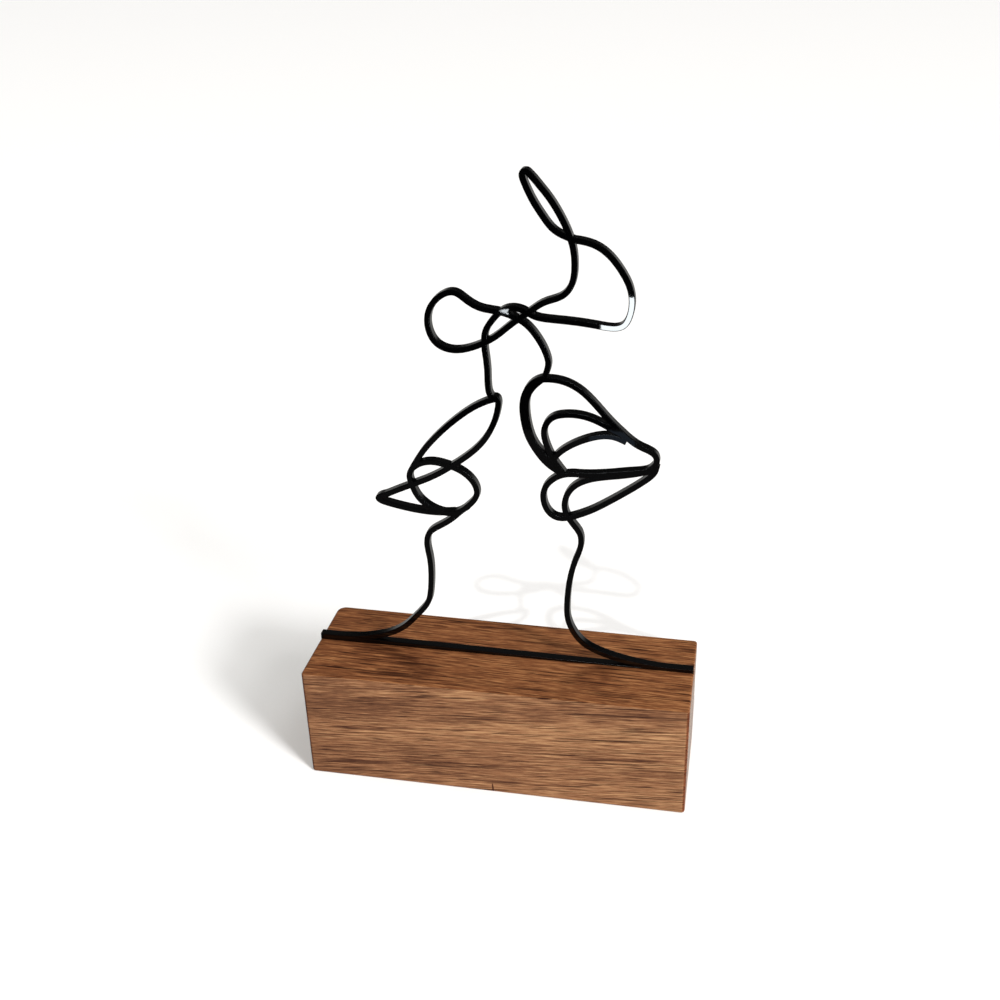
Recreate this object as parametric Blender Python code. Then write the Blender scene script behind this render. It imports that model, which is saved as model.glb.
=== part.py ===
"""Line sculpture of a kissing couple, cut from sheet metal and stood in a wooden plinth.

Two separate pieces: the plinth, with a groove sawn along its top, and the sheet,
whose straight foot strip drops into that groove. The drawing is one running line
of a single width, so it is built from centre lines that are widened into
ribbons, joined in the plane and thickened to the sheet.

Metres, +Z up. X runs along the plinth, -Y is the front, Z = 0 is the underside.
"""

import math

import bpy
import numpy as np
from mathutils import Vector
from mathutils.geometry import delaunay_2d_cdt

# Wooden plinth.
PLINTH_LENGTH = 0.1500
PLINTH_DEPTH = 0.0492
PLINTH_HEIGHT = 0.0484
# The back face is sawn a little out of square: this much less depth at the right end.
BACK_TAPER = 0.0020
EDGE_ROUND = 0.0010
EDGE_STEPS = 4
# Radii of the upright corners: front left, front right, back right, back left.
CORNER_ROUND = (0.0014, 0.0014, 0.0014, 0.0036)
CORNER_STEPS = 6

# Sheet and the groove it stands in.
SHEET_THICKNESS = 0.0030
FIT_GAP = 0.0003
GROOVE_DEPTH = 0.0080
# How far the sheet's front face stands behind the middle of the plinth.
FRONT_FACE_Y = 0.0
# Height of the foot strip above the wood at its left and right ends.
STRIP_RISE_LEFT = 0.0020
STRIP_RISE_RIGHT = 0.0002

# Drawing, measured from the wood up to the top of the highest line.
LINE_WIDTH = 0.0019
FIGURE_HEIGHT = 0.1902
# Height above the wood where the middle of the leg lines reaches the strip's ends.
LEG_END_LEFT = 0.0014
LEG_END_RIGHT = 0.0005

# Fineness of the cut outline.
MILLIMETRE = 0.001
CURVE_SAMPLES = 24
BOW_TOLERANCE = 0.00002
LONGEST_STEP = 0.0060
SHORTEST_EDGE = 0.00016
SMALLEST_HOLE = 0.35e-6
WELD_DISTANCE = 1e-7

# Centre lines of the drawing in millimetres: across from the middle of the plinth,
# and up from the wood. They are scaled together to the figure's height.
LEFT_LEG_AND_CHIN = (
    (-66.0, 1.4), (-59.0, 1.9), (-52.0, 3.3), (-45.0, 5.7), (-38.7, 9.8), (-33.2, 15.8),
    (-29.0, 21.6), (-27.6, 27.1), (-27.0, 33.6), (-27.1, 41.6), (-27.8, 48.1), (-26.6, 52.9),
    (-23.2, 55.8), (-18.5, 59.0), (-14.3, 62.8), (-10.2, 66.6), (-7.8, 70.2), (-7.8, 73.5),
    (-9.9, 77.2), (-14.1, 80.4), (-18.6, 82.0), (-23.8, 82.9), (-28.6, 81.9), (-31.4, 80.0),
)
LEFT_UPPER_LIP = (
    (1.0, 109.5), (-2.1, 108.5), (-7.5, 105.7), (-13.2, 101.5), (-18.8, 96.5), (-24.2, 90.8),
    (-28.0, 85.9), (-31.1, 80.9), (-32.9, 76.9), (-32.3, 73.2), (-30.6, 68.9), (-27.6, 65.4),
    (-23.4, 62.9), (-18.9, 62.0), (-15.0, 62.8), (-11.2, 65.4),
)
LEFT_MOUTH_LINE = (
    (-0.6, 109.7), (0.8, 109.7), (1.45, 108.6), (1.4, 106.6), (0.7, 103.3), (-0.4, 100.0),
    (-2.7, 95.3), (-6.5, 90.2), (-12.0, 85.2), (-18.0, 80.8), (-24.4, 76.8), (-31.8, 73.2),
    (-38.5, 70.1), (-43.6, 67.7), (-45.6, 66.7), (-45.3, 65.8), (-42.0, 64.5), (-36.0, 63.2),
    (-29.0, 62.2), (-22.0, 62.0), (-16.5, 62.5),
)
LEFT_NOSE = (
    (-0.4, 109.6), (-1.5, 111.1), (-2.05, 114.6), (-2.1, 120.6), (-2.6, 126.6), (-2.8, 131.1),
    (-2.1, 134.8), (-0.2, 137.9), (2.5, 141.0), (5.2, 142.7), (8.2, 143.1), (11.3, 142.3),
    (14.8, 140.5), (20.0, 139.6), (28.6, 139.0), (36.8, 138.0), (42.0, 137.5), (45.4, 138.7),
    (47.4, 142.9), (47.8, 147.6), (46.7, 152.5), (43.9, 157.6), (40.4, 162.0), (36.3, 165.1),
    (32.0, 166.6), (27.9, 167.2),
)
RIGHT_EYE_AND_NOSE = (
    (28.6, 167.1), (25.0, 168.5), (21.4, 170.7), (17.9, 175.1), (14.8, 180.0), (12.4, 185.1),
    (11.6, 188.4), (12.6, 189.2), (15.0, 187.1), (19.3, 182.1), (23.3, 176.1), (26.5, 169.6),
    (28.2, 163.9), (28.6, 157.6), (27.6, 152.0), (24.2, 147.9), (18.3, 145.5), (12.9, 141.8),
    (7.2, 137.6), (1.3, 132.7), (-3.8, 129.7), (-9.3, 127.6), (-15.0, 127.1), (-20.0, 129.4),
    (-22.5, 134.6), (-22.2, 140.3), (-19.5, 144.8), (-15.6, 147.5), (-12.2, 147.7), (-8.5, 145.2),
    (-4.1, 142.8), (0.0, 142.0), (4.0, 141.3), (8.6, 139.6), (12.1, 137.4), (15.1, 134.0),
    (17.7, 129.7), (19.1, 126.2), (19.5, 123.2), (18.3, 118.9),
)
RIGHT_UPPER_LIP = (
    (17.2, 117.7), (20.8, 117.8), (25.0, 117.1), (30.0, 114.7), (35.1, 110.1), (40.8, 103.6),
    (46.1, 98.4), (50.7, 94.7), (55.1, 92.6), (57.3, 90.9), (57.8, 88.4), (56.6, 86.0),
)
RIGHT_CHEEK = (
    (18.2, 118.3), (14.2, 116.4), (11.2, 112.1), (10.2, 107.6), (10.4, 102.6), (11.6, 96.8),
    (13.6, 92.3), (17.2, 87.0), (20.8, 83.7), (23.9, 81.8),
)
RIGHT_CHEEK_AGAIN = (
    (17.5, 117.8), (14.1, 114.6), (11.9, 110.5), (11.5, 105.6), (12.1, 100.2), (14.0, 93.8),
    (17.5, 88.9), (21.2, 85.2), (24.2, 82.5),
)
RIGHT_INNER_ARC = (
    (46.8, 97.7), (41.5, 100.4), (36.2, 103.1), (30.5, 104.7), (25.0, 104.7), (20.6, 103.2),
    (18.2, 99.9), (17.8, 96.2), (19.0, 91.6), (21.3, 86.7), (24.6, 82.0),
)
RIGHT_LOOSE_ARC = (
    (21.0, 87.0), (22.8, 89.4), (26.9, 92.7), (33.3, 95.9), (39.1, 97.4), (43.2, 97.1),
    (46.9, 95.6),
)
RIGHT_MOUTH_AND_LOBE = (
    (57.6, 87.8), (55.2, 85.3), (50.0, 84.1), (43.5, 83.0), (37.0, 82.1), (31.0, 81.7),
    (26.0, 81.5), (21.5, 79.6), (18.1, 75.8), (17.2, 71.4), (18.4, 66.8), (21.2, 63.9),
    (25.3, 63.5), (32.1, 66.0), (37.2, 68.8), (47.1, 75.6), (53.5, 80.5), (57.0, 84.1),
    (57.9, 86.8),
)
RIGHT_LEG = (
    (56.8, 85.1), (50.0, 83.2), (43.5, 81.9), (37.0, 80.7), (32.0, 79.0), (28.2, 76.4),
    (25.7, 72.4), (25.1, 67.6), (26.6, 63.5), (29.2, 59.8), (30.9, 56.6), (30.9, 51.6),
    (29.3, 46.6), (27.6, 40.6), (26.5, 34.1), (25.9, 26.6), (26.2, 19.6), (28.6, 13.4), (32.3, 8.9),
    (38.1, 5.6), (46.0, 3.1), (54.0, 1.5), (62.0, 0.6), (68.0, 0.5),
)

DRAWING = (
    LEFT_LEG_AND_CHIN,
    LEFT_UPPER_LIP,
    LEFT_MOUTH_LINE,
    LEFT_NOSE,
    RIGHT_EYE_AND_NOSE,
    RIGHT_UPPER_LIP,
    RIGHT_CHEEK,
    RIGHT_CHEEK_AGAIN,
    RIGHT_INNER_ARC,
    RIGHT_LOOSE_ARC,
    RIGHT_MOUTH_AND_LOBE,
    RIGHT_LEG,
)


def clear_scene():
    """Remove every object left from before."""
    for item in list(bpy.data.objects):
        bpy.data.objects.remove(item, do_unlink=True)


def make_material(name, colour, metallic, roughness):
    """A plain material with its own Principled shader."""
    material = bpy.data.materials.new(name)
    material.use_nodes = True
    shader = material.node_tree.nodes["Principled BSDF"]
    shader.inputs["Base Color"].default_value = (*colour, 1.0)
    shader.inputs["Metallic"].default_value = metallic
    shader.inputs["Roughness"].default_value = roughness
    return material


def add_object(name, vertices, faces, material):
    """Make one mesh object from vertices and faces."""
    mesh = bpy.data.meshes.new(name)
    mesh.from_pydata([tuple(map(float, v)) for v in vertices], [], [tuple(map(int, f)) for f in faces])
    mesh.materials.append(material)
    item = bpy.data.objects.new(name, mesh)
    bpy.context.scene.collection.objects.link(item)
    return item


def smooth_curve(points):
    """Even, natural cubic spline through the points, each span cut into small samples."""
    points = np.array(points)
    gaps = np.sqrt(np.linalg.norm(np.diff(points, axis=0), axis=1))
    count = len(points)
    system = np.eye(count)
    target = np.zeros((count, 2))
    for i in range(1, count - 1):
        before = gaps[i - 1]
        after = gaps[i]
        system[i, i - 1:i + 2] = before / 6, (before + after) / 3, after / 6
        target[i] = (points[i + 1] - points[i]) / after - (points[i] - points[i - 1]) / before
    bend = np.linalg.solve(system, target)
    samples = []
    for i, gap in enumerate(gaps):
        t = (np.arange(CURVE_SAMPLES) / CURVE_SAMPLES * gap)[:, None]
        rest = gap - t
        samples.append(
            bend[i] * rest**3 / (6 * gap)
            + bend[i + 1] * t**3 / (6 * gap)
            + (points[i] / gap - bend[i] * gap / 6) * rest
            + (points[i + 1] / gap - bend[i + 1] * gap / 6) * t
        )
    samples.append(points[-1:])
    return np.concatenate(samples)


def thin_out(line, tolerance, longest):
    """Keep only the samples needed to stay within the tolerance of the line."""
    kept = [0]
    start = 0
    while start < len(line) - 1:
        end = start + 1
        while end + 1 < len(line):
            chord = line[end + 1] - line[start]
            length = np.linalg.norm(chord)
            if length > longest:
                break
            across = np.array([-chord[1], chord[0]]) / max(length, WELD_DISTANCE)
            inner = line[start + 1:end + 1] - line[start]
            if np.max(np.abs(inner @ across)) > tolerance:
                break
            end += 1
        kept.append(end)
        start = end
    return line[kept]


def drawing_lines():
    """Centre lines in metres above the underside, with both legs run out along the strip."""
    lines = [smooth_curve(np.array(points) * MILLIMETRE) for points in DRAWING]
    top = max(line[:, 1].max() for line in lines)
    scale = (FIGURE_HEIGHT - LINE_WIDTH / 2) / top
    end = PLINTH_LENGTH / 2 - FIT_GAP
    lines = [line * scale for line in lines]
    left_end = np.array([[-end, LEG_END_LEFT]])
    right_end = np.array([[end, LEG_END_RIGHT]])
    lines[0] = np.concatenate([left_end, lines[0]])
    lines[-1] = np.concatenate([lines[-1], right_end])
    shifted = []
    for line in lines:
        moved = thin_out(line, BOW_TOLERANCE, LONGEST_STEP)
        moved[:, 1] += PLINTH_HEIGHT
        shifted.append(moved)
    return shifted


def ribbon_triangles(line):
    """Triangles that cover one line's full width, all turning the same way."""
    steps = np.diff(line, axis=0)
    steps /= np.linalg.norm(steps, axis=1)[:, None]
    heading = np.concatenate([steps[:1], steps[:-1] + steps[1:], steps[-1:]])
    heading /= np.linalg.norm(heading, axis=1)[:, None]
    side = np.stack([-heading[:, 1], heading[:, 0]], axis=1) * LINE_WIDTH / 2
    left = line + side
    right = line - side
    triangles = []
    for i in range(len(line) - 1):
        triangles.append((right[i], right[i + 1], left[i + 1]))
        triangles.append((right[i], left[i + 1], left[i]))
    return triangles


def strip_triangles():
    """The foot strip that stands in the groove, its top sloping a little to the right."""
    end = PLINTH_LENGTH / 2 - FIT_GAP
    bottom = PLINTH_HEIGHT - GROOVE_DEPTH + FIT_GAP
    left_top = np.array([-end, PLINTH_HEIGHT + STRIP_RISE_LEFT])
    right_top = np.array([end, PLINTH_HEIGHT + STRIP_RISE_RIGHT])
    left_low = np.array([-end, bottom])
    right_low = np.array([end, bottom])
    return [(left_low, right_low, right_top), (left_low, right_top, left_top)]


def joined_outline(triangles):
    """Join overlapping triangles in the plane and return the closed outlines of the whole."""
    corners = []
    faces = []
    for a, b, c in triangles:
        area = (b[0] - a[0]) * (c[1] - a[1]) - (b[1] - a[1]) * (c[0] - a[0])
        if abs(area) < WELD_DISTANCE**2:
            continue
        ring = (a, b, c) if area > 0 else (a, c, b)
        faces.append(list(range(len(corners), len(corners) + 3)))
        corners.extend(Vector((float(p[0]), float(p[1]))) for p in ring)
    points, _, pieces, _, _, sources = delaunay_2d_cdt(corners, [], faces, 0, WELD_DISTANCE)
    following = {}
    for piece, source in zip(pieces, sources):
        if source:
            for i, start in enumerate(piece):
                following[(start, piece[(i + 1) % len(piece)])] = True
    rim = {}
    for start, end in following:
        if (end, start) not in following:
            rim.setdefault(start, []).append(end)
    loops = []
    while rim:
        first = next(iter(rim))
        loop = [first]
        current = take_next(rim, points, None, first)
        while current != first:
            loop.append(current)
            current = take_next(rim, points, loop[-2], current)
        loops.append(np.array([tuple(points[i]) for i in loop]))
    return loops


def take_next(rim, points, previous, current):
    """Take the rim edge that leaves a point, keeping to the same body where two rims meet."""
    choices = rim[current]
    pick = 0
    if len(choices) > 1 and previous is not None:
        back = points[previous] - points[current]
        turns = []
        for choice in choices:
            ahead = points[choice] - points[current]
            angle = math.atan2(back[0] * ahead[1] - back[1] * ahead[0], back.dot(ahead))
            turns.append(angle % (2 * math.pi))
        pick = turns.index(max(turns))
    taken = choices.pop(pick)
    if not choices:
        del rim[current]
    return taken


def loop_area(loop):
    """Signed area of a closed outline, positive when it runs anticlockwise."""
    ahead = np.roll(loop, -1, axis=0)
    return float(np.sum(loop[:, 0] * ahead[:, 1] - loop[:, 1] * ahead[:, 0]) / 2)


def tidy_loop(loop):
    """Drop outline points that are too close together or lie on a straight run."""
    points = list(loop)
    changed = True
    while changed and len(points) > 3:
        changed = False
        i = 0
        while i < len(points) and len(points) > 3:
            before = points[i - 1]
            here = points[i]
            after = points[(i + 1) % len(points)]
            chord = after - before
            length = max(float(np.linalg.norm(chord)), WELD_DISTANCE)
            away = here - before
            bow = abs(chord[0] * away[1] - chord[1] * away[0]) / length
            close = np.linalg.norm(away) < SHORTEST_EDGE
            straight = bow < BOW_TOLERANCE / 3 and length < LONGEST_STEP
            if straight or (close and bow < SHORTEST_EDGE / 2):
                del points[i]
                changed = True
            i += 1
    return np.array(points)


def inside(points, loops):
    """Which points lie inside the outlines, holes left out."""
    hit = np.zeros(len(points), dtype=bool)
    for loop in loops:
        ahead = np.roll(loop, -1, axis=0)
        for (x1, z1), (x2, z2) in zip(loop, ahead):
            spans = (points[:, 1] < z1) != (points[:, 1] < z2)
            if z1 != z2:
                cross = x1 + (points[:, 1] - z1) * (x2 - x1) / (z2 - z1)
                hit ^= spans & (points[:, 0] < cross)
    return hit


def build_sheet(material):
    """The cut sheet: the drawing and its foot strip as one body of even thickness."""
    triangles = strip_triangles()
    for line in drawing_lines():
        triangles.extend(ribbon_triangles(line))
    loops = [loop for loop in joined_outline(triangles) if abs(loop_area(loop)) > SMALLEST_HOLE]
    loops = [tidy_loop(loop) for loop in loops]
    flat = np.concatenate(loops)
    edges = []
    start = 0
    for loop in loops:
        size = len(loop)
        edges.extend((start + i, start + (i + 1) % size) for i in range(size))
        start += size
    corners = [Vector((float(x), float(z))) for x, z in flat]
    points, _, pieces, _, _, _ = delaunay_2d_cdt(corners, edges, [], 0, WELD_DISTANCE)
    plane = np.array([tuple(p) for p in points])
    pieces = np.array(pieces)
    centres = plane[pieces].mean(axis=1)
    pieces = pieces[inside(centres, loops)]
    count = len(plane)
    front = np.stack([plane[:, 0], np.full(count, FRONT_FACE_Y), plane[:, 1]], axis=1)
    back = front + np.array([0.0, SHEET_THICKNESS, 0.0])
    faces = [tuple(piece) for piece in pieces]
    faces += [tuple(piece[::-1] + count) for piece in pieces]
    used = {(a, b) for piece in pieces for a, b in zip(piece, np.roll(piece, -1))}
    for a, b in used:
        if (b, a) not in used:
            faces.append((b, a, a + count, b + count))
    sheet = add_object("kissing_couple_sheet", np.concatenate([front, back]), faces, material)
    shade_by_angle(sheet)
    return sheet


def shade_by_angle(item):
    """Shade curved sides smoothly and keep the cut corners crisp."""
    item.data.shade_smooth()
    item.data.set_sharp_from_angle(angle=math.radians(32))


def plan_outline(inset):
    """Rounded plan of the plinth drawn in by the inset, anticlockwise from above."""
    x = PLINTH_LENGTH / 2
    y = PLINTH_DEPTH / 2
    corners = np.array([(-x, -y), (x, -y), (x, y - BACK_TAPER), (-x, y)])
    ring = []
    for i, corner in enumerate(corners):
        arriving = corner - corners[i - 1]
        leaving = corners[(i + 1) % len(corners)] - corner
        first = math.atan2(arriving[1], arriving[0]) - math.pi / 2
        turn = math.atan2(leaving[1], leaving[0]) - math.pi / 2 - first
        turn %= 2 * math.pi
        middle = first + turn / 2
        radius = CORNER_ROUND[i]
        centre = corner - np.array([math.cos(middle), math.sin(middle)]) * radius / math.cos(turn / 2)
        for step in range(CORNER_STEPS + 1):
            angle = first + turn * step / CORNER_STEPS
            ring.append(centre + np.array([math.cos(angle), math.sin(angle)]) * (radius - inset))
    return np.array(ring)


def build_plinth(material):
    """The wooden plinth: a bar with softened edges and a groove along its top."""
    levels = []
    for step in range(EDGE_STEPS + 1):
        angle = math.pi / 2 * step / EDGE_STEPS
        inset = EDGE_ROUND * (1 - math.sin(angle))
        levels.append((inset, EDGE_ROUND * (1 - math.cos(angle))))
    levels += [(inset, PLINTH_HEIGHT - height) for inset, height in reversed(levels)]
    vertices = []
    for inset, height in levels:
        vertices.extend((x, y, height) for x, y in plan_outline(inset))
    size = len(vertices) // len(levels)
    faces = [tuple(range(size))[::-1]]
    for level in range(len(levels) - 1):
        low = level * size
        for i in range(size):
            j = (i + 1) % size
            faces.append((low + i, low + j, low + size + j, low + size + i))
    top = (len(levels) - 1) * size
    faces.append(tuple(range(top, top + size)))
    plinth = add_object("wooden_plinth", vertices, faces, material)
    cut_groove(plinth)
    shade_by_angle(plinth)
    return plinth


def cut_groove(plinth):
    """Saw the groove along the plinth's top, open at both ends."""
    reach = PLINTH_LENGTH
    near = FRONT_FACE_Y - FIT_GAP
    far = FRONT_FACE_Y + SHEET_THICKNESS + FIT_GAP
    low = PLINTH_HEIGHT - GROOVE_DEPTH
    high = PLINTH_HEIGHT + GROOVE_DEPTH
    vertices = [(x, y, z) for x in (-reach, reach) for y in (near, far) for z in (low, high)]
    faces = [(0, 1, 3, 2), (4, 6, 7, 5), (0, 4, 5, 1), (2, 3, 7, 6), (0, 2, 6, 4), (1, 5, 7, 3)]
    cutter = add_object("groove_cutter", vertices, faces, plinth.data.materials[0])
    cutter.hide_render = True
    cutter.display_type = "WIRE"
    saw = plinth.modifiers.new("groove", "BOOLEAN")
    saw.operation = "DIFFERENCE"
    saw.solver = "EXACT"
    saw.object = cutter


def main():
    """Build both pieces."""
    clear_scene()
    wood = make_material("walnut", (0.20, 0.095, 0.045), 0.0, 0.55)
    black = make_material("black_coated_metal", (0.010, 0.010, 0.012), 0.0, 0.18)
    build_plinth(wood)
    build_sheet(black)


main()
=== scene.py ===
"""Looks of a kissing couple line sculpture: a black coated cut sheet stood in a walnut plinth.

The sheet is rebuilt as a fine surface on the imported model's own outline, and the plinth keeps its
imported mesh. Both get procedural finishes, stand on pale paper and are lit softly for one camera.
Lengths are metres unless a name or a docstring says millimetres.
"""

import logging
import math
from collections.abc import Callable, Sequence
from dataclasses import dataclass
from enum import Enum

import bpy
import numpy as np
from mathutils import Euler, Matrix, Vector
from mathutils.geometry import delaunay_2d_cdt

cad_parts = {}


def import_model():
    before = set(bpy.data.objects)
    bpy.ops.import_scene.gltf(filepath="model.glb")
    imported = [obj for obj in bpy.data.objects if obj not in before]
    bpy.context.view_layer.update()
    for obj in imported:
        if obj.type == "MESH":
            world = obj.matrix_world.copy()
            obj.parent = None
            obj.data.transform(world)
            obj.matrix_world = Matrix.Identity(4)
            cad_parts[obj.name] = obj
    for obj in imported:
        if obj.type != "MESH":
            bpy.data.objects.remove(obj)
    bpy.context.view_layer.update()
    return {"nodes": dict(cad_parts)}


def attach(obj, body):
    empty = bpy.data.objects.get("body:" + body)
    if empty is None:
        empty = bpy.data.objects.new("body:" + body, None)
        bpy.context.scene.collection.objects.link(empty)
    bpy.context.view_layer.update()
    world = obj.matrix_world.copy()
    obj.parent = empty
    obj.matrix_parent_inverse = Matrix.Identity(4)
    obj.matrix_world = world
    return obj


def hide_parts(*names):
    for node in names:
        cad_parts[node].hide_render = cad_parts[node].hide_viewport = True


LOG = logging.getLogger("kissing_couple")
MM = 0.001
Array = np.ndarray
Tree = bpy.types.NodeTree
Node = bpy.types.Node
Socket = bpy.types.NodeSocket
Span = tuple[float, float]
Point = tuple[float, float, float]

# Settings that several nodes share.
ABSOLUTE = {"operation": "ABSOLUTE"}
MINUS = {"operation": "SUBTRACT"}
DIVIDED = {"operation": "DIVIDE"}
TIMES = {"operation": "MULTIPLY"}
TIMES_PLUS = {"operation": "MULTIPLY_ADD"}
SMOOTH = {"interpolation_type": "SMOOTHSTEP"}
TINT = {"data_type": "RGBA", "blend_type": "MIX"}
SHADE = {"data_type": "RGBA", "blend_type": "MULTIPLY"}

# Most values of a noise lie in this span, and it wanders about the middle one.
NOISE_SPAN = (0.3, 0.7)
NOISE_MIDDLE = 0.5

# How close points count as one, in depth, in the outline's plane and in the fill.
SAME_DEPTH = 1e-6
SAME_PLACE_DECIMALS = 7
SAME_FILL_POINT = 1e-9
# Outline edges that are compared with all triangles at a time, to save memory.
EDGES_AT_A_TIME = 500


class Side(Enum):
    """The sheet's two faces: the one towards the viewer and the one behind it."""

    NEAR = 0
    FAR = 1


class Reach(Enum):
    """What a light falls on."""

    ALL = "all"
    FLOOR = "floor"
    MODEL = "model"


def linear(colour: str) -> tuple[float, float, float, float]:
    """Turn an sRGB hex value into a linear colour.

    A part c up to 0.04045 becomes c / 12.92, and any other ((c + 0.055) / 1.055) to the power 2.4.

    Args:
        colour: six hex digits after a hash sign.

    Returns:
        Red, green, blue and alpha for a shader socket.
    """
    parts = [int(colour[i : i + 2], 16) / 255 for i in (1, 3, 5)]
    lin = [c / 12.92 if c <= 0.04045 else ((c + 0.055) / 1.055) ** 2.4 for c in parts]
    return (lin[0], lin[1], lin[2], 1.0)


def add(tree: Tree, kind: str, settings: dict | None = None, **inputs: object) -> Node:
    """Add one node to a tree with its settings, values and links.

    Args:
        tree: the tree that gets the node.
        kind: the node's type name, without the leading ShaderNode.
        settings: attributes of the node itself.
        inputs: value or socket for each input, by name with _ for a space, or in<number>.

    Returns:
        The new node.
    """
    node = tree.nodes.new("ShaderNode" + kind)
    for name, value in (settings or {}).items():
        setattr(node, name, value)
    for name, value in inputs.items():
        numbered = name.startswith("in") and name[2:].isdigit()
        socket = node.inputs[int(name[2:])] if numbered else node.inputs[name.replace("_", " ")]
        if isinstance(value, bpy.types.NodeSocket):
            tree.links.new(value, socket)
        else:
            socket.default_value = value
    return node


def new_material(name: str) -> tuple[bpy.types.Material, Tree, Node]:
    """Start a material.

    Args:
        name: the finish's plain name.

    Returns:
        The material, its tree and its Principled shader.
    """
    material = bpy.data.materials.new(name)
    material.use_nodes = True
    tree = material.node_tree
    return material, tree, tree.nodes["Principled BSDF"]


@dataclass(frozen=True)
class Mark:
    """A darker or paler place in the wood, or a painted shadow on it: middle and half sizes in millimetres,
    and its tone.

    The half sizes run along, across and up the grain. The core is the share of them that has
    the whole tone.
    """

    middle: Point
    reach: Point
    tone: float
    core: float = 0.5

    def build(self, tree: Tree, turned: Socket, turn: Matrix) -> Socket:
        """Fade the mark's tone out from its middle.

        Args:
            tree: the tree that gets the nodes.
            turned: coordinates in millimetres, turned to run with the grain.
            turn: how they were turned.

        Returns:
            The tone the mark adds: all of it inside its core, none outside its reach.
        """
        middle = tuple(turn @ Vector(self.middle))
        apart = add(tree, "VectorMath", MINUS, in0=turned, in1=middle).outputs["Vector"]
        share = add(tree, "VectorMath", DIVIDED, in0=apart, in1=self.reach).outputs["Vector"]
        length = add(tree, "VectorMath", {"operation": "LENGTH"}, in0=share).outputs["Value"]
        return add(
            tree,
            "MapRange",
            SMOOTH,
            Value=length,
            From_Min=self.core,
            From_Max=1.0,
            To_Min=self.tone,
            To_Max=0.0,
        ).outputs["Result"]


@dataclass(frozen=True)
class Grain:
    """Noise drawn out along the fibres.

    The size is how long, wide and high one wave of it is, in millimetres. Detail counts the
    octaves of finer noise, and strength is theirs.
    """

    size: Point
    detail: float
    strength: float

    def build(self, tree: Tree, turned: Socket) -> Socket:
        """Lay the noise on the wood.

        Args:
            tree: the tree that gets the nodes.
            turned: coordinates in millimetres, turned to run with the grain.

        Returns:
            The noise value.
        """
        waves = tuple(1 / length for length in self.size)
        drawn = add(tree, "Mapping", Vector=turned, Scale=waves).outputs["Vector"]
        noise = add(tree, "TexNoise", Vector=drawn, Scale=1.0, Detail=self.detail, Roughness=self.strength)
        return noise.outputs["Fac"]


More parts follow.
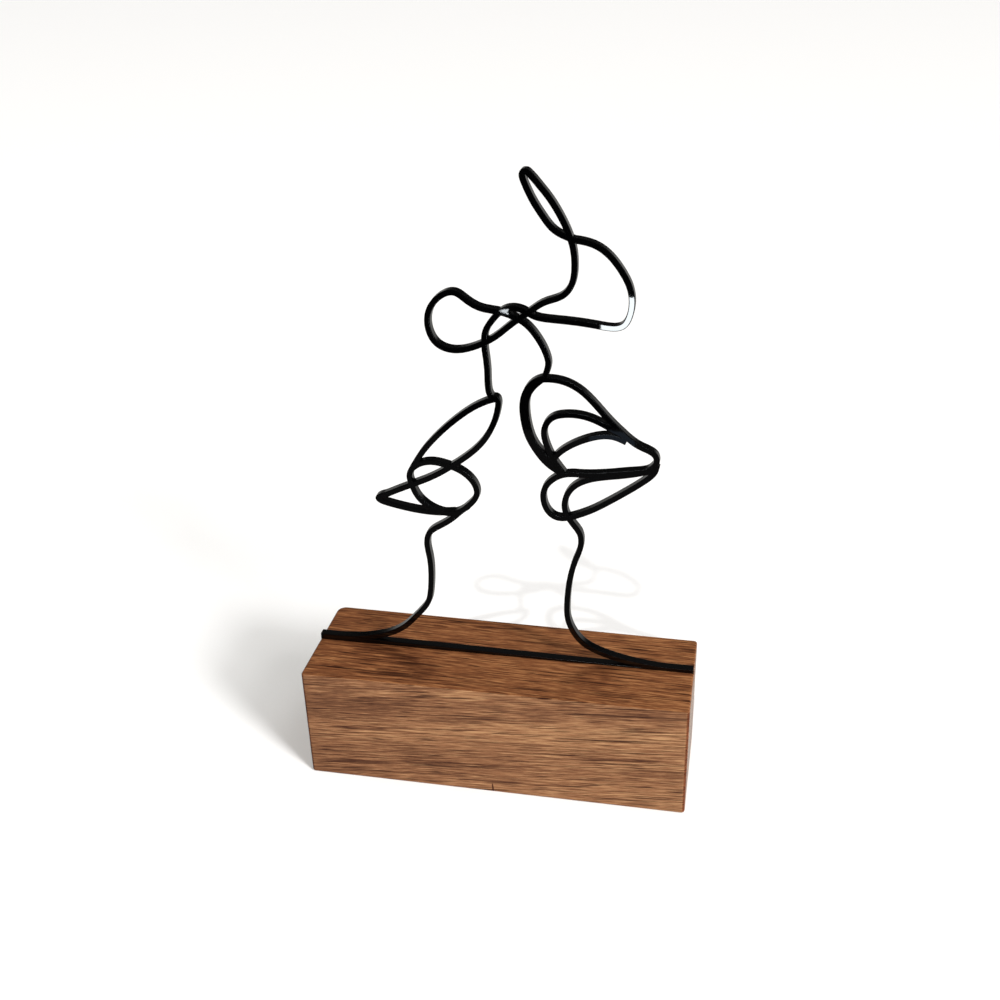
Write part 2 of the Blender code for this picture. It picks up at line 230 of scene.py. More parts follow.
@dataclass(frozen=True)
class Walnut:
    """Oiled walnut, planed along the grain and sanded: warm brown, open dark pores, soft sheen.

    Real pores are about 0.2 mm wide and run 5 to 20 mm along the fibres. That is too fine to show,
    so they are drawn as coarse as they need to be: 0.33 to 0.40 mm high and 13 to 34 mm long.
    Growth layers, each a height in millimetres and a tone, rise a little to the right, as the
    board was sawn off the grain. The top and underside are drawn a shade deeper than the
    sides, the upright arrises are drawn darker, and the sanded end grain is smoother. Four marks
    on the top are a painted shadow of the legs, together with their dark reflection in its sheen.

    Tones run from 0, dark, to 1, light. A span is where a smooth step starts and ends: in tone,
    in noise, or in a part of the surface's direction.
    """

    dark: str = "#4c2d1e"
    middle: str = "#8c5f40"
    light: str = "#c5976a"
    tone_span: Span = (0.10, 0.90)
    pore: str = "#331b12"
    pore_depth: float = 0.78
    short_pore_span: Span = (0.58, 0.70)
    long_pore_span: Span = (0.58, 0.68)
    # The top and underside are drawn a shade deeper than the sides.
    level_faces_deeper: str = "#e3d0bd"
    flat_span: Span = (0.6, 0.8)
    flat_change: float = 0.02
    arris: str = "#ba9180"
    arris_span: Span = (0.22, 0.46)
    roughness: float = 0.5
    smoother: float = 0.06
    rougher: float = 0.08
    end_roughness: float = 0.16
    end_span: Span = (0.8, 0.95)
    ior: float = 1.46
    specular: float = 0.15
    relief: float = 0.3
    relief_mm: float = 0.05
    grain_rise: float = 0.08
    grain_turn: float = 0.012
    streak_share: float = 0.30
    fibre_share: float = 1.7
    rightward: float = 0.0010
    wander_mm: float = 11.0
    wander: Grain = Grain((80.0, 30.0, 12.0), 2.0, 0.5)
    streaks: Grain = Grain((60.0, 2.6, 1.3), 2.0, 0.5)
    fibre: Grain = Grain((10.0, 0.62, 0.31), 3.0, 0.70)
    short_pores: Grain = Grain((13.0, 0.66, 0.33), 1.0, 0.5)
    long_pores: Grain = Grain((34.0, 0.84, 0.40), 1.0, 0.5)
    layers: tuple[tuple[float, float], ...] = (
        (-8.0, 0.55),
        (5.0, 0.48),
        (10.0, 0.45),
        (14.0, 0.49),
        (19.0, 0.45),
        (25.0, 0.54),
        (31.0, 0.56),
        (36.0, 0.46),
        (41.0, 0.41),
        (46.0, 0.47),
        (56.0, 0.52),
    )
    marks_and_painted_shadows: tuple[Mark, ...] = (
        Mark((0.0, -24.6, 2.0), (0.42, 2.0, 2.8), -0.80),
        Mark((-11.0, -24.6, 45.5), (16.0, 6.0, 3.4), 0.14),
        Mark((-52.0, -24.6, 35.5), (30.0, 8.0, 7.0), -0.07),
        Mark((30.0, -24.6, 31.0), (50.0, 8.0, 6.5), 0.03),
        Mark((58.0, -24.6, 44.5), (26.0, 6.0, 3.2), -0.10),
        Mark((-52.0, -24.6, 25.2), (17.0, 5.0, 1.1), -0.24),
        Mark((50.0, -24.6, 23.0), (22.0, 5.0, 1.1), -0.26),
        Mark((62.0, -24.6, 18.0), (16.0, 5.0, 2.4), -0.14),
        Mark((-56.0, -24.6, 7.6), (19.0, 5.0, 1.2), -0.32),
        Mark((-26.0, -24.6, 11.4), (19.0, 5.0, 1.3), -0.26),
        Mark((6.0, -24.6, 13.8), (15.0, 5.0, 1.0), -0.20),
        Mark((5.0, -24.6, 5.7), (9.0, 5.0, 0.9), -0.24),
        Mark((-29.0, 16.0, 48.4), (4.5, 1.3, 3.0), -0.30),
        # Painted shadow of the left leg on the top, with its dark reflection, in three steps.
        Mark((-50.0, -4.0, 48.4), (13.0, 3.6, 3.0), -0.16),
        Mark((-38.0, -9.0, 48.4), (10.0, 4.6, 3.0), -0.16),
        Mark((-29.0, -15.0, 48.4), (8.0, 5.5, 3.0), -0.14),
        # Painted shadow of the right leg on the top, with its dark reflection.
        Mark((37.0, -9.0, 48.4), (9.0, 10.0, 3.0), -0.10),
        Mark((-60.0, 16.0, 48.4), (3.0, 0.9, 3.0), -0.22),
    )

    def build(self) -> bpy.types.Material:
        """Make the wood's material.

        Returns:
            The finished material.
        """
        material, tree, shader = new_material("oiled_walnut_sanded")
        coordinates = add(tree, "TexCoord")
        spot = coordinates.outputs["Object"]
        place = add(tree, "VectorMath", {"operation": "SCALE"}, in0=spot, Scale=1 / MM).outputs["Vector"]
        tilt = (0.0, math.atan(self.grain_rise), math.atan(self.grain_turn))
        turned = add(tree, "Mapping", Vector=place, Rotation=tilt).outputs["Vector"]
        facing = add(tree, "SeparateXYZ", Vector=coordinates.outputs["Normal"])

        upward = add(tree, "Math", ABSOLUTE, in0=facing.outputs["Z"]).outputs[0]
        start, end = self.flat_span
        flat = add(tree, "MapRange", SMOOTH, Value=upward, From_Min=start, From_Max=end).outputs["Result"]
        # On the flat-sawn faces the noise hardly changes with height, or the rise would cut it to specks.
        kept, flattened = (1.0, 1.0, 1.0), (1.0, 1.0, self.flat_change)
        sawn = add(tree, "Mix", {"data_type": "VECTOR"}, Factor=flat, in4=kept, in5=flattened).outputs[1]
        grain = add(tree, "VectorMath", TIMES, in0=turned, in1=sawn).outputs["Vector"]

        streaks = self.streaks.build(tree, grain)
        fibre = self.fibre.build(tree, grain)
        tone = self.growth(tree, place, turned)
        for noise, share in ((streaks, self.streak_share), (fibre, self.fibre_share)):
            tone = add(tree, "Math", TIMES_PLUS, in0=noise, in1=share, in2=tone).outputs[0]
        turn = Euler(tilt).to_matrix()
        for mark in self.marks_and_painted_shadows:
            tone = add(tree, "Math", in0=tone, in1=mark.build(tree, turned, turn)).outputs[0]
        ramp = add(tree, "ValToRGB", Fac=tone)
        stops = ramp.color_ramp.elements
        stops[0].position, stops[0].color = self.tone_span[0], linear(self.dark)
        stops[1].position, stops[1].color = self.tone_span[1], linear(self.light)
        stops.new(sum(self.tone_span) / 2).color = linear(self.middle)

        noise = self.short_pores.build(tree, grain)
        start, end = self.short_pore_span
        dashes = add(tree, "MapRange", SMOOTH, Value=noise, From_Min=start, From_Max=end).outputs["Result"]
        noise = self.long_pores.build(tree, grain)
        start, end = self.long_pore_span
        lines = add(tree, "MapRange", SMOOTH, Value=noise, From_Min=start, From_Max=end).outputs["Result"]
        pores = add(tree, "Math", in0=dashes, in1=lines).outputs[0]
        filled = {"operation": "MULTIPLY", "use_clamp": True}
        pores = add(tree, "Math", filled, in0=pores, in1=self.pore_depth).outputs[0]

        # The upright arrises are drawn darker than the faces beside them.
        across = add(tree, "Math", TIMES, in0=facing.outputs["X"], in1=facing.outputs["Y"]).outputs[0]
        across = add(tree, "Math", ABSOLUTE, in0=across).outputs[0]
        start, end = self.arris_span
        arris_darkening = add(tree, "MapRange", SMOOTH, Value=across, From_Min=start, From_Max=end).outputs["Result"]
        colour = ramp.outputs["Color"]
        for how, share, over in (
            (TINT, pores, self.pore),
            (SHADE, flat, self.level_faces_deeper),
            (SHADE, arris_darkening, self.arris),
        ):
            colour = add(tree, "Mix", how, Factor=share, in6=colour, in7=linear(over)).outputs[2]
        tree.links.new(colour, shader.inputs["Base Color"])

        rough = add(
            tree,
            "MapRange",
            Value=fibre,
            From_Min=NOISE_SPAN[0],
            From_Max=NOISE_SPAN[1],
            To_Min=self.roughness - self.smoother,
            To_Max=self.roughness + self.rougher,
        ).outputs["Result"]
        along = add(tree, "Math", ABSOLUTE, in0=facing.outputs["X"]).outputs[0]
        start, end = self.end_span
        sanded = add(tree, "MapRange", SMOOTH, Value=along, From_Min=start, From_Max=end).outputs["Result"]
        rough = add(tree, "Mix", Factor=sanded, A=rough, B=self.end_roughness).outputs[0]
        tree.links.new(rough, shader.inputs["Roughness"])
        hollow = add(tree, "Math", MINUS, in0=fibre, in1=dashes).outputs[0]
        bump = add(tree, "Bump", Height=hollow, Strength=self.relief, Distance=self.relief_mm * MM)
        tree.links.new(bump.outputs["Normal"], shader.inputs["Normal"])
        shader.inputs["IOR"].default_value = self.ior
        shader.inputs["Specular IOR Level"].default_value = self.specular
        return material

    def growth(self, tree: Tree, place: Socket, turned: Socket) -> Socket:
        """Tone of the growth layers: each layer's tone at height z - rise * x + a slow wander.

        What the finer noises add on average is taken off, and the right end is a little paler.

        Args:
            tree: the tree that gets the nodes.
            place: coordinates in millimetres.
            turned: the same, turned to run with the grain.

        Returns:
            The layers' tone.
        """
        wander = self.wander.build(tree, turned)
        axes = add(tree, "SeparateXYZ", Vector=place)
        along, height = axes.outputs["X"], axes.outputs["Z"]
        height = add(tree, "Math", TIMES_PLUS, in0=along, in1=-self.grain_rise, in2=height).outputs[0]
        height = add(tree, "Math", TIMES_PLUS, in0=wander, in1=self.wander_mm, in2=height).outputs[0]
        lift = NOISE_MIDDLE * self.wander_mm
        low, high = self.layers[0][0], self.layers[-1][0]
        start, end = low + lift, high + lift
        share = add(tree, "MapRange", Value=height, From_Min=start, From_Max=end).outputs["Result"]
        ramp = add(tree, "ValToRGB", Fac=share)
        stops = ramp.color_ramp.elements
        stops[0].color = (self.layers[0][1],) * 3 + (1.0,)
        stops[1].color = (self.layers[-1][1],) * 3 + (1.0,)
        for up, tone in self.layers[1:-1]:
            stops.new((up - low) / (high - low)).color = (tone,) * 3 + (1.0,)
        average = NOISE_MIDDLE * (self.streak_share + self.fibre_share)
        tone = add(tree, "Math", MINUS, in0=ramp.outputs["Color"], in1=average).outputs[0]
        return add(tree, "Math", TIMES_PLUS, in0=along, in1=self.rightward, in2=tone).outputs[0]


@dataclass(frozen=True)
class GlossBlackCoat:
    """Steel sheet with a baked gloss black coat: near-black, mirror-like, with faint orange peel.

    The sheet's faces are mirror-like; its cut edges, where the coat pulls thin, are softer. The
    peel's waves are 0.9 mm long and under a thousandth of a millimetre high, and the coat's
    clouds of thickness are 14 mm wide.
    """

    thin: str = "#010101"
    thick: str = "#020203"
    roughness: float = 0.018
    smoothest: float = 0.8
    roughest: float = 1.3
    edge_roughness: float = 0.22
    face_span: Span = (0.999, 0.9999)
    cloud_mm: float = 14.0
    peel_mm: float = 0.9
    peel_height_mm: float = 0.0006
    ior: float = 1.5

    def build(self) -> bpy.types.Material:
        """Make the coat's material.

        Returns:
            The finished material.
        """
        material, tree, shader = new_material("steel_sheet_gloss_black_coat")
        coordinates = add(tree, "TexCoord")
        place = coordinates.outputs["Object"]
        fine, wide = 1 / (self.peel_mm * MM), 1 / (self.cloud_mm * MM)
        peel = add(tree, "TexNoise", Vector=place, Scale=fine, Detail=1.0).outputs["Fac"]
        cloud = add(tree, "TexNoise", Vector=place, Scale=wide, Detail=2.0).outputs["Fac"]
        rough = add(
            tree,
            "MapRange",
            Value=cloud,
            From_Min=NOISE_SPAN[0],
            From_Max=NOISE_SPAN[1],
            To_Min=self.roughness * self.smoothest,
            To_Max=self.roughness * self.roughest,
        ).outputs["Result"]
        facing = add(tree, "SeparateXYZ", Vector=coordinates.outputs["Normal"]).outputs["Y"]
        square = add(tree, "Math", ABSOLUTE, in0=facing).outputs[0]
        start, end = self.face_span
        face = add(tree, "MapRange", Value=square, From_Min=start, From_Max=end).outputs["Result"]
        rough = add(tree, "Mix", Factor=face, A=self.edge_roughness, B=rough).outputs[0]
        tree.links.new(rough, shader.inputs["Roughness"])
        thin, thick = linear(self.thin), linear(self.thick)
        colour = add(tree, "Mix", TINT, Factor=cloud, in6=thin, in7=thick).outputs[2]
        tree.links.new(colour, shader.inputs["Base Color"])
        bump = add(tree, "Bump", Height=peel, Strength=1.0, Distance=self.peel_height_mm * MM)
        tree.links.new(bump.outputs["Normal"], shader.inputs["Normal"])
        shader.inputs["IOR"].default_value = self.ior
        return material


@dataclass(frozen=True)
class SeamlessPaper:
    """Matt white background paper: bright, with the faintest mottling of its fibres.

    Real fibres are finer than a tenth of a millimetre. They are drawn as mottles about 1 mm wide.
    """

    pulp: str = "#f8f7f4"
    bleached: str = "#fcfbfa"
    mottles_per_mm: float = 0.9
    relief: float = 0.15
    relief_mm: float = 0.05
    roughness: float = 0.75
    specular: float = 0.2

    def build(self) -> bpy.types.Material:
        """Make the paper's material.

        Returns:
            The finished material.
        """
        material, tree, shader = new_material("matt_white_paper")
        place = add(tree, "TexCoord").outputs["Object"]
        waves = self.mottles_per_mm / MM
        mottle = add(tree, "TexNoise", Vector=place, Scale=waves, Detail=2.0).outputs["Fac"]
        bump = add(tree, "Bump", Height=mottle, Strength=self.relief, Distance=self.relief_mm * MM)
        tree.links.new(bump.outputs["Normal"], shader.inputs["Normal"])
        pulp, bleached = linear(self.pulp), linear(self.bleached)
        colour = add(tree, "Mix", TINT, Factor=mottle, in6=pulp, in7=bleached).outputs[2]
        tree.links.new(colour, shader.inputs["Base Color"])
        shader.inputs["Roughness"].default_value = self.roughness
        shader.inputs["Specular IOR Level"].default_value = self.specular
        return material


def make_piece(
    name: str,
    vertices: Array,
    faces: Sequence[Sequence[int]],
    material: bpy.types.Material,
    corner_normals: Array | None = None,
) -> bpy.types.Object:
    """Put a surface into a mesh object at the origin.

    Args:
        name: the object's name.
        vertices: one row of x, y, z for each vertex.
        faces: vertex numbers of each face, anticlockwise from outside.
        material: the finish.
        corner_normals: one row for each corner of each face, in the faces' order.

    Returns:
        The new object.
    """
    mesh = bpy.data.meshes.new(name)
    mesh.from_pydata(vertices.tolist(), [], faces)
    mesh.materials.append(material)
    mesh.shade_smooth()
    if corner_normals is not None:
        mesh.normals_split_custom_set(corner_normals.tolist())
    piece = bpy.data.objects.new(name, mesh)
    bpy.context.scene.collection.objects.link(piece)
    return piece


def next_points(sizes: Array) -> Array:
    """Number the point that follows each point, round closed outlines laid one after another.

    Args:
        sizes: how many points each outline has.

    Returns:
        The next point's number for each point; an outline's last point is followed by its first.
    """
    starts = np.repeat(np.cumsum(sizes) - sizes, sizes)
    local = np.arange(len(starts)) - starts
    return starts + (local + 1) % np.repeat(sizes, sizes)


def steps_of(loop: Array) -> tuple[Array, Array, Array, Array]:
    """Measure the straight steps between a closed outline's points.

    Args:
        loop: one outline, one row of two coordinates for each point.

    Returns:
        For each point, the length and direction of the step ahead of it, the direction of the
        step before it, and the turn from that one to the one ahead, positive to the left.
    """
    ahead = np.roll(loop, -1, axis=0) - loop
    length = np.linalg.norm(ahead, axis=1)
    unit = ahead / length[:, None]
    before = np.roll(unit, 1, axis=0)
    cross = before[:, 0] * unit[:, 1] - before[:, 1] * unit[:, 0]
    return length, unit, before, np.arctan2(cross, np.sum(before * unit, axis=1))


def fill_outlines(loops: list[Array]) -> Array:
    """Fill closed outlines with triangles, leaving their holes open.

    A point is inside where a ray from it crosses the outlines an odd number of times.

    Args:
        loops: closed outlines, one row of two coordinates for each point.

    Returns:
        Triangles, as numbers into all the outlines' points one after another.
    """
    flat = np.concatenate(loops)
    after = next_points(np.array([len(loop) for loop in loops]))
    edges = np.stack([np.arange(len(flat)), after], axis=1)
    corners = [Vector(point) for point in flat.tolist()]
    _, _, pieces, origins, _, _ = delaunay_2d_cdt(corners, edges.tolist(), [], 0, SAME_FILL_POINT)
    source = np.array([ids[0] for ids in origins])
    pieces = source[np.array(pieces)]
    centres = flat[pieces].mean(axis=1)
    ends = flat[after]
    inside = np.zeros(len(centres), dtype=bool)
    for block in np.array_split(np.arange(len(flat)), max(1, len(flat) // EDGES_AT_A_TIME)):
        low, high = flat[block, 1], ends[block, 1]
        spans = (centres[:, 1:] < low) != (centres[:, 1:] < high)
        rise = np.where(high == low, 1.0, high - low)
        across = ends[block, 0] - flat[block, 0]
        reach = flat[block, 0] + (centres[:, 1:] - low) * across / rise
        inside ^= (np.sum(spans & (centres[:, :1] < reach), axis=1) % 2).astype(bool)
    return pieces[inside]


@dataclass
class CutSheet:
    """The couple and their foot strip, cut from one sheet, with softly broken edges.

    The coat adds a film to every side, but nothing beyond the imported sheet's own box in the plane.
    Outline points nearer an outward corner than the corner's room, in edge rounds, are dropped.
    """

    node: str = "kissing_couple_sheet"
    slot: str = "black_coated_metal"
    edge_round: float = 0.32 * MM
    film: float = 0.15 * MM
    round_steps: int = 3
    fine_step: float = 0.45 * MM
    corner_turn: float = math.radians(30.0)
    corner_room: float = 2.2
    sharpest_mitre: float = 0.5
    finish: GlossBlackCoat = GlossBlackCoat()

    def outlines(self, source: bpy.types.Object) -> tuple[list[Array], float, float]:
        """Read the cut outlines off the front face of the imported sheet.

        An outline edge belongs to one front triangle only, and the next edge starts where it ends.

        Args:
            source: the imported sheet.

        Returns:
            The outlines across and up, with the metal on their left, and the depths of both faces.
        """
        mesh = source.data
        points = np.empty(len(mesh.vertices) * 3, dtype=np.float32)
        mesh.vertices.foreach_get("co", points)
        points = points.reshape(-1, 3).astype(float)
        mesh.calc_loop_triangles()
        corners = np.empty(len(mesh.loop_triangles) * 3, dtype=np.int32)
        mesh.loop_triangles.foreach_get("vertices", corners)
        corners = corners.reshape(-1, 3)
        near, far = points[:, 1].min(), points[:, 1].max()
        front = corners[np.all(points[corners, 1] < near + SAME_DEPTH, axis=1)]
        rounded = np.round(points[:, [0, 2]], SAME_PLACE_DECIMALS)
        plane, number = np.unique(rounded, axis=0, return_inverse=True)
        front = number.reshape(-1)[front]
        starts = front.ravel()
        ends = np.roll(front, -1, axis=1).ravel()
        count = len(plane)
        rim = ~np.isin(starts * count + ends, ends * count + starts)
        after = np.full(count, -1)
        after[starts[rim]] = ends[rim]
        loops = []
        left = set(starts[rim].tolist())
        while left:
            here = min(left)
            ring = []
            while here in left:
                left.remove(here)
                ring.append(here)
                here = int(after[here])
            loops.append(plane[ring])
        return loops, float(near), float(far)

    def clear_corners(self, loop: Array) -> Array:
        """Drop outline points too near an outward corner for its rounded edge.

        Args:
            loop: one outline.

        Returns:
            The outline with room at its corners.
        """
        turn = steps_of(loop)[3]
        corner = np.abs(turn) > self.corner_turn
        outward = loop[turn > self.corner_turn]
        if not len(outward):
            return loop
        gap = np.linalg.norm(loop[:, None, :] - outward[None, :, :], axis=2).min(axis=1)
        return loop[corner | (gap > self.corner_room * self.edge_round)]

    def refined(self, loop: Array) -> tuple[Array, Array, Array]:
        """Round an outline between its points with cubic Hermite arcs, keeping its corners.

        A smooth point's tangent is that of the circle through it and its two neighbours;
        a corner's tangents are those of its own straight edges.

        Args:
            loop: one outline.

        Returns:
            Finer points, and the directions in which the outline leaves and reaches each.
        """
        length, unit, before, turn = steps_of(loop)
        tangent = unit * np.roll(length, 1)[:, None] + before * length[:, None]
        tangent /= np.linalg.norm(tangent, axis=1)[:, None]
        corner = (np.abs(turn) > self.corner_turn)[:, None]
        leaving = np.where(corner, unit, tangent)
        reaching = np.roll(np.where(corner, before, tangent), -1, axis=0)
        parts = np.maximum(1, np.ceil(length / self.fine_step)).astype(int)
        which = np.repeat(np.arange(len(loop)), parts)
        share = (np.arange(len(which)) - np.repeat(np.cumsum(parts) - parts, parts)) / parts[which]
        t = share[:, None]
        start, end = loop[which], np.roll(loop, -1, axis=0)[which]
        reach = length[which][:, None]
        points = (
            (2 * t**3 - 3 * t**2 + 1) * start
            + (t**3 - 2 * t**2 + t) * reach * leaving[which]
            + (3 * t**2 - 2 * t**3) * end
            + (t**3 - t**2) * reach * reaching[which]
        )
        slope = (
            (6 * t**2 - 6 * t) * start / reach
            + (3 * t**2 - 4 * t + 1) * leaving[which]
            + (6 * t - 6 * t**2) * end / reach
            + (3 * t**2 - 2 * t) * reaching[which]
        )
        slope /= np.linalg.norm(slope, axis=1)[:, None]
        arriving = slope.copy()
        arriving[share == 0] = np.where(corner, before, tangent)
        return points, slope, arriving

    def edge_profile(self, near: float, far: float) -> tuple[Array, Array, Array]:
        """Section of a cut edge: a quarter-round, a straight wall and a quarter-round.

        At an angle a round the edge, the surface lies r * (1 - sin a) in from the outline and
        r * (1 - cos a) in from the face, each less the film.

        Args:
            near: depth of the near face.
            far: depth of the far face.

        Returns:
            For each ring of points, how far in from the outline it lies, its depth, and the
            surface's angle there from the near face's direction.
        """
        angle = np.linspace(0.0, math.pi / 2, self.round_steps + 1)
        inset = self.edge_round * (1 - np.sin(angle)) - self.film
        depth = self.edge_round * (1 - np.cos(angle)) - self.film
        return (
            np.concatenate([inset, inset[::-1]]),
            np.concatenate([near + depth, far - depth[::-1]]),
            np.concatenate([angle, math.pi - angle[::-1]]),
        )

    def wall_normals(self, tilt: Array, start: Array, end: Array) -> Array:
        """Exact directions of the rounded wall at the corners of its faces.

        Each is the outward direction in the plane times the sine of the tilt, and
        the near direction times its cosine.

        Args:
            tilt: angle of each ring from the near face's direction.
            start: metal-side direction at the start of each outline edge.
            end: metal-side direction at its end.

        Returns:
            Four normals for each face, ring by ring.
        """
        rings = len(tilt) - 1
        result = np.empty((rings, len(start), 4, 3))
        corners = ((0, start), (1, start), (1, end), (0, end))
        for place, (step, inner) in enumerate(corners):
            bend = tilt[step : step + rings][:, None]
            result[:, :, place, 0] = -inner[:, 0] * np.sin(bend)
            result[:, :, place, 1] = -np.cos(bend)
            result[:, :, place, 2] = -inner[:, 1] * np.sin(bend)
        return result

    def build(self, source: bpy.types.Object) -> bpy.types.Object:
        """Make the sheet: the edge's section carried along each outline, and two flat faces.

        Args:
            source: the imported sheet.

        Returns:
            The dressed sheet.
        """
        loops, near, far = self.outlines(source)
        refined = [self.refined(self.clear_corners(loop)) for loop in loops]
        points, leaving, arriving = (np.concatenate(rows) for rows in zip(*refined))
        sizes = np.array([len(rows[0]) for rows in refined])
        after = next_points(sizes)
        left_out = np.stack([-leaving[:, 1], leaving[:, 0]], axis=1)
        left_in = np.stack([-arriving[:, 1], arriving[:, 0]], axis=1)
        inward = left_out + left_in
        inward /= np.maximum(self.sharpest_mitre, np.sum(inward * left_out, axis=1))[:, None]
        inset, level, tilt = self.edge_profile(near, far)
        flat = points[None, :, :] + inward[None, :, :] * inset[:, None, None]
        flat = np.clip(flat, points.min(axis=0), points.max(axis=0))
        rings, count = flat.shape[:2]
        depths = np.broadcast_to(level[:, None], (rings, count))
        vertices = np.stack([flat[..., 0], depths, flat[..., 1]], axis=-1).reshape(-1, 3)
        ring, i = np.meshgrid(np.arange(rings - 1), np.arange(count), indexing="ij")
        j = after[i]
        here, there = ring * count, (ring + 1) * count
        walls = np.stack([here + i, there + i, there + j, here + j], axis=-1)
        cap = fill_outlines(np.split(flat[0], np.cumsum(sizes)[:-1]))
        far_cap = cap[:, ::-1] + (rings - 1) * count
        faces = walls.reshape(-1, 4).tolist() + cap.tolist() + far_cap.tolist()
        normals = self.wall_normals(tilt, left_out, left_in[after])
        facing = np.zeros((len(Side), len(cap) * 3, 3))
        facing[Side.NEAR.value, :, 1] = -1.0
        facing[Side.FAR.value, :, 1] = 1.0
        normals = np.concatenate([normals.reshape(-1, 3), facing.reshape(-1, 3)])
        piece = make_piece("cut_couple", vertices, faces, self.finish.build(), normals)
        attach(piece, "root")
        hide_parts(self.node)
        return piece


@dataclass
class WalnutPlinth:
    """The walnut bar: planed faces, hand-softened edges and a sawn groove along its top."""

    node: str = "wooden_plinth"
    finish: Walnut = Walnut()

    def build(self, source: bpy.types.Object) -> bpy.types.Object:
        """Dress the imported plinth, whose mesh stays as it is.

        Args:
            source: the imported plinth.

        Returns:
            The same object with its finish.
        """
        material = self.finish.build()
        source.data.materials.clear()
        source.data.materials.append(material)
        return source


@dataclass(frozen=True)
class Sun:
    """One far, soft light: where it stands, how wide it looks and how bright it is.

    It stands towards a mix of across and towards_back, at its elevation. Elevation and width are
    degrees. Strength is what a sheet facing it square would give back, with full white as 1.
    """

    name: str
    across: float
    towards_back: float
    elevation: float
    width: float
    strength: float
    colour: str
    falls_on: Reach = Reach.ALL

    def build(self, pieces: dict[Reach, bpy.types.Collection]) -> bpy.types.Object:
        """Hang the light, turn it to the origin and choose what it falls on.

        Args:
            pieces: the objects of each reach.

        Returns:
            The light.
        """
        data = bpy.data.lights.new(self.name, "SUN")
        data.energy = self.strength * math.pi
        data.angle = math.radians(self.width)
        data.color = linear(self.colour)[:3]
        lamp = bpy.data.objects.new(self.name, data)
        lamp.visible_glossy = False
        bpy.context.scene.collection.objects.link(lamp)
        flat = Vector((self.across, self.towards_back, 0.0)).normalized()
        height = math.radians(self.elevation)
        source = flat * math.cos(height) + Vector((0.0, 0.0, math.sin(height)))
        lamp.matrix_world = source.to_track_quat("Z", "Y").to_matrix().to_4x4()
        if self.falls_on in pieces:
            lamp.light_linking.receiver_collection = pieces[self.falls_on]
        return lamp


@dataclass(frozen=True)
class CeilingLamp:
    """A small lamp above the camera, which draws the sculpture's thin shadow on the floor behind it.

    Its light doesn't fade with distance, so that the paper is as pale far off as near by. Its
    power is in watts.
    """

    name: str = "ceiling_lamp"
    place: Point = (0.083, -0.76, 1.31)
    radius: float = 0.015
    power: float = 11.5

    def build(self, pieces: dict[Reach, bpy.types.Collection]) -> bpy.types.Object:
        """Hang the lamp and let it fall on the floor.

        Args:
            pieces: the objects of each reach.

        Returns:
            The lamp.
        """
        data = bpy.data.lights.new(self.name, "POINT")
        data.energy = self.power
        data.shadow_soft_size = self.radius
        data.use_nodes = True
        tree = data.node_tree
        steady = add(tree, "LightFalloff", Strength=1.0).outputs["Constant"]
        tree.links.new(steady, tree.nodes["Emission"].inputs["Strength"])
        lamp = bpy.data.objects.new(self.name, data)
        lamp.location = self.place
        lamp.visible_glossy = False
        bpy.context.scene.collection.objects.link(lamp)
        lamp.light_linking.receiver_collection = pieces[Reach.FLOOR]
        return lamp


@dataclass(frozen=True)
class GlowCard:
    """A bright card in front of the sheet that shows only as a gleam on the coat.

    Its corners are given in millimetres where they gleam on the sheet's face, across and up from
    the middle of the plinth's underside; each is carried out along the mirrored line of sight.
    """

    name: str
    gleam: tuple[tuple[float, float], ...]
    strength: float
    colour: str = "#f4fbff"

    def build(self, eye: Point, distance: float) -> bpy.types.Object:
        """Hang the card.

        A card corner is E + (P - E)(e + d) / e, where P is its place on the sheet's face,
        E the eye mirrored in that face, e the eye's distance from it and d the card's.

        Args:
            eye: where the picture was taken from.
            distance: how far in front of the sheet the card hangs.

        Returns:
            The card.
        """
        corners = np.array([(x, 0.0, z) for x, z in self.gleam]) * MM
        mirrored = np.array([eye[0], -eye[1], eye[2]])
        places = mirrored + (corners - mirrored) * (1 + distance / mirrored[1])
        material, tree, shader = new_material(self.name)
        tree.nodes.remove(shader)
        glow = add(tree, "Emission", Color=linear(self.colour), Strength=self.strength)
        tree.links.new(glow.outputs["Emission"], tree.nodes["Material Output"].inputs["Surface"])
        card = make_piece(self.name, places, [tuple(range(len(places)))[::-1]], material)
        for ray in ("camera", "diffuse", "transmission", "shadow", "volume_scatter"):
            setattr(card, "visible_" + ray, False)
        return card


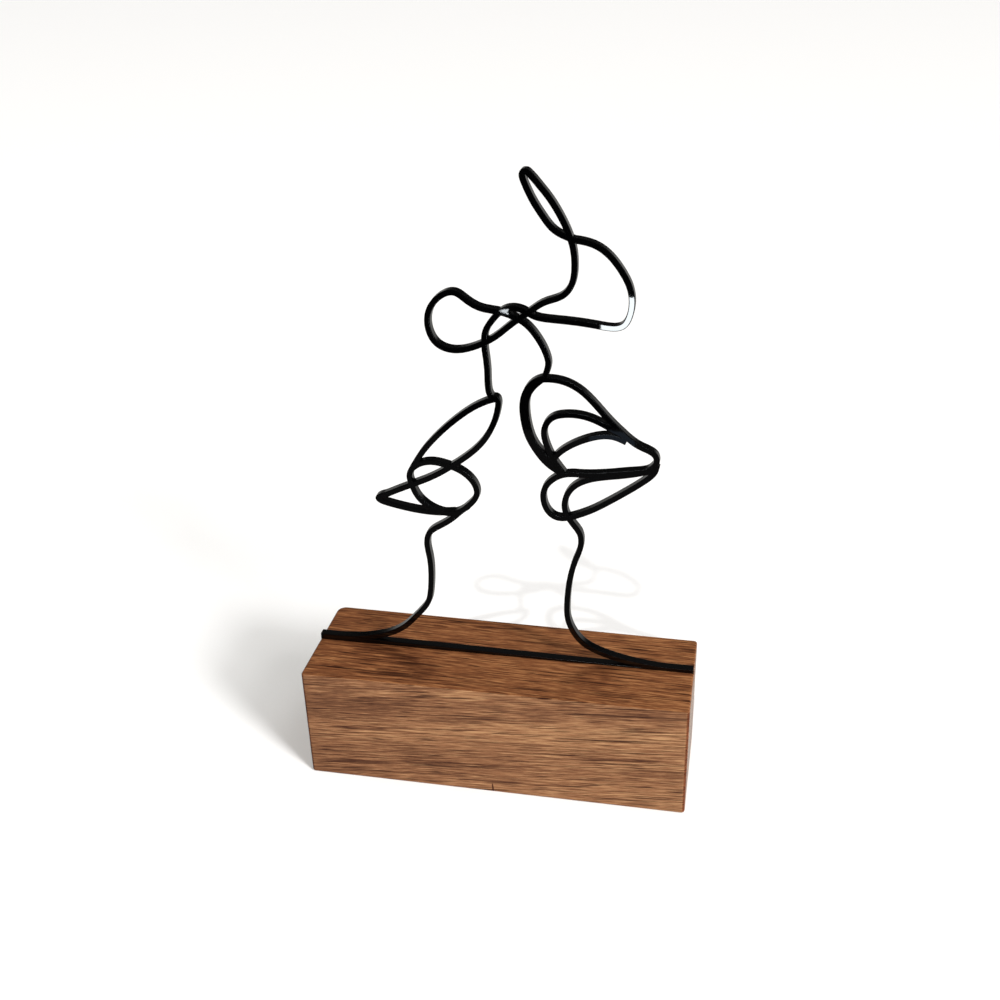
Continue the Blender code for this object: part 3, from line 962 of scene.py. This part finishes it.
@dataclass
class Studio:
    """Pale paper floor, soft lights and the camera.

    The gloss values are how bright the coat mirrors each part of the room. The spans and the near
    floor's edge are parts of a direction: upward, or towards the back.
    """

    floor_size: float = 8.0
    paper: SeamlessPaper = SeamlessPaper()
    room: float = 0.36
    room_colour: str = "#fdfcf8"
    near_gloss: float = 0.085
    near_floor_edge: float = -0.4165
    far_gloss: float = 0.006
    sky_gloss: float = 0.09
    sky_span: Span = (0.44, 0.58)
    paper_gloss: float = 0.55
    paper_behind_span: Span = (-0.05, 0.15)
    paper_top_span: Span = (0.20, 0.06)
    backdrop: float = 1.0
    card_distance: float = 0.36
    lens_mm: float = 44.03
    sensor_mm: float = 36.0
    clip_span: Span = (0.01, 50.0)
    eye: Point = (0.08522, -0.38841, 0.32774)
    right: Point = (0.9799, 0.1974, -0.0273)
    up: Point = (-0.0686, 0.4629, 0.8837)
    forward: Point = (-0.1871, 0.8641, -0.4672)
    suns: tuple[Sun, ...] = (
        Sun("window_right_low", 0.81, -0.59, 26.0, 13.0, 0.85, "#fdfdff"),
        Sun("window_right_middle", 0.83, -0.56, 38.0, 17.0, 0.27, "#fdfdff"),
        Sun("window_right_high", 0.86, -0.52, 60.0, 18.0, 0.11, "#fdfdff"),
        Sun("window_behind", -0.05, 1.0, 48.0, 13.0, 0.42, "#f7faff", Reach.MODEL),
    )
    lamp: CeilingLamp = CeilingLamp()
    cards: tuple[GlowCard, ...] = (
        GlowCard(
            "gleam_on_nose_corner",
            ((37.6, 180.0), (56.0, 180.0), (56.0, 197.6), (37.6, 196.3)),
            26.0,
        ),
        GlowCard(
            "gleam_on_crossing",
            ((3.0, 190.5), (5.9, 189.5), (6.1, 191.3), (4.2, 191.1)),
            17.0,
        ),
        GlowCard(
            "slate_on_lip_arc",
            ((34.0, 143.0), (50.0, 141.5), (50.0, 148.0), (34.0, 148.6)),
            0.6,
            "#a9bdd6",
        ),
    )

    def build(self, model: Sequence[bpy.types.Object]) -> None:
        """Make the floor, the lights, the surroundings and the camera.

        Args:
            model: the objects of the sculpture.
        """
        pieces = {
            Reach.FLOOR: self.gather("lit_floor", [self.lay_floor()]),
            Reach.MODEL: self.gather("lit_model", model),
        }
        self.surround()
        for light in (*self.suns, self.lamp):
            light.build(pieces)
        for card in self.cards:
            card.build(self.eye, self.card_distance)
        self.set_camera()

    def gather(self, name: str, objects: Sequence[bpy.types.Object]) -> bpy.types.Collection:
        """Put objects together for a light to fall on.

        Args:
            name: the collection's name.
            objects: what the light falls on.

        Returns:
            A collection of them, outside the scene's own.
        """
        group = bpy.data.collections.new(name)
        for member in objects:
            group.objects.link(member)
        return group

    def lay_floor(self) -> bpy.types.Object:
        """Lay the paper floor as a flat sheet under the plinth, kept out of the coat's gleams.

        Returns:
            The floor.
        """
        half = self.floor_size / 2
        corners = np.array([(-half, -half, 0.0), (half, -half, 0.0), (half, half, 0.0), (-half, half, 0.0)])
        floor = make_piece("paper_floor", corners, [(0, 1, 2, 3)], self.paper.build())
        floor.visible_glossy = False
        return floor

    def surround(self) -> None:
        """Fill the room with even light, and give gloss what the coat mirrors in it.

        That is pale paper low behind the sheet, a dark room above it and towards the camera,
        a slate floor near the camera's feet and a grey ceiling. Beyond the floor's edge the
        picture shows white.
        """
        world = bpy.data.worlds.new("soft_white_room")
        world.use_nodes = True
        tree = world.node_tree
        axes = add(tree, "SeparateXYZ", Vector=add(tree, "TexCoord").outputs["Generated"])
        height, back = axes.outputs["Z"], axes.outputs["Y"]
        lower = {"operation": "LESS_THAN"}
        below = add(tree, "Math", lower, in0=height, in1=self.near_floor_edge).outputs[0]
        start, end = self.sky_span
        above = add(tree, "MapRange", Value=height, From_Min=start, From_Max=end).outputs["Result"]
        start, end = self.paper_behind_span
        behind = add(tree, "MapRange", Value=back, From_Min=start, From_Max=end).outputs["Result"]
        start, end = self.paper_top_span
        under = add(tree, "MapRange", Value=height, From_Min=start, From_Max=end).outputs["Result"]
        paper = add(tree, "Math", TIMES, in0=behind, in1=under).outputs[0]
        gloss = add(tree, "Mix", Factor=below, A=self.far_gloss, B=self.near_gloss).outputs[0]
        gloss = add(tree, "Mix", Factor=above, A=gloss, B=self.sky_gloss).outputs[0]
        gloss = add(tree, "Mix", Factor=paper, A=gloss, B=self.paper_gloss).outputs[0]
        ray = add(tree, "LightPath").outputs
        strength = add(tree, "Mix", Factor=ray["Is Glossy Ray"], A=self.room, B=gloss).outputs[0]
        strength = add(tree, "Mix", Factor=ray["Is Camera Ray"], A=strength, B=self.backdrop).outputs[0]
        ground = tree.nodes["Background"]
        ground.inputs["Color"].default_value = linear(self.room_colour)
        tree.links.new(strength, ground.inputs["Strength"])
        bpy.context.scene.world = world

    def set_camera(self) -> None:
        """Stand the camera where the picture was taken from."""
        data = bpy.data.cameras.new("camera")
        data.lens = self.lens_mm
        data.sensor_width = self.sensor_mm
        data.clip_start, data.clip_end = self.clip_span
        camera = bpy.data.objects.new("camera", data)
        bpy.context.scene.collection.objects.link(camera)
        turn = Matrix([self.right, self.up, [-c for c in self.forward]]).transposed()
        camera.matrix_world = Matrix.Translation(self.eye) @ turn.to_4x4()
        bpy.context.scene.camera = camera


def main() -> None:
    """Build the pieces in order."""
    logging.basicConfig(level=logging.INFO, format="%(name)s: %(message)s")
    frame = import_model()
    bpy.context.scene.view_settings.view_transform = "Standard"
    builders: list[tuple[str, Callable[[bpy.types.Object], bpy.types.Object]]] = [
        (WalnutPlinth.node, WalnutPlinth().build),
        (CutSheet.node, CutSheet().build),
    ]
    pieces = []
    for node, build in builders:
        piece = build(frame["nodes"][node])
        LOG.info("%s: %d faces", piece.name, len(piece.data.polygons))
        pieces.append(piece)
    Studio().build(pieces)


if __name__ == "__main__":
    main()
